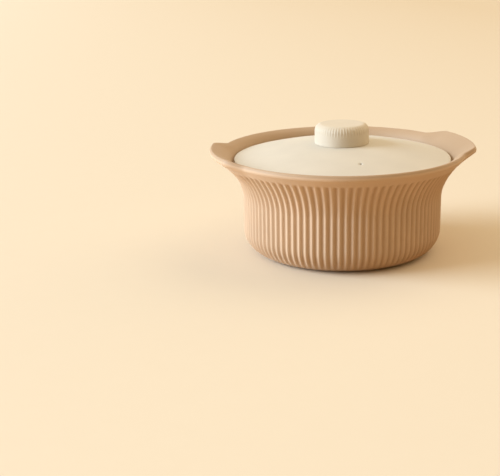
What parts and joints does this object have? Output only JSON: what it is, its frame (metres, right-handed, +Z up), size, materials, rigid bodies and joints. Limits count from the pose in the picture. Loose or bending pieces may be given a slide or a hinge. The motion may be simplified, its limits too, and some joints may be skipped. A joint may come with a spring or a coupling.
{
  "type": "silicone steamer",
  "caption": "Round fluted silicone steamer pot with a flared rim, lug handles, a perforated steam tray inside and a domed lid with a round fluted knob.",
  "frame": {"origin": "centre of the pot's flat base, on the face it rests on", "axes": "+X through one lug handle, +Y away from the side with the lid's vent hole, +Z up through the knob"},
  "size_m": [0.2176, 0.2012, 0.1057],
  "materials": {
    "clay_silicone": "matt",
    "cream_silicone": "matt",
    "seal_silicone": "matt",
    "insert_brass": "satin",
    "steel": "satin"
  },
  "bodies": {
    "pot": {"pot_body": "clay_silicone"},
    "tray": {"steam_tray": "clay_silicone"},
    "lid": {"lid_panel": "cream_silicone", "lid_knob": "cream_silicone", "knob_seal": "seal_silicone", "knob_insert": "insert_brass", "knob_washer": "steel", "knob_screw": "steel"}
  },
  "joints": [
    {"name": "lid_lift", "type": "slide", "parent": "pot", "child": "lid", "axis": [0, 0, 1], "range_m": [0, 0.12]},
    {"name": "tray_lift", "type": "slide", "parent": "pot", "child": "tray", "axis": [0, 0, 1], "range_m": [0, 0.05]}
  ]
}
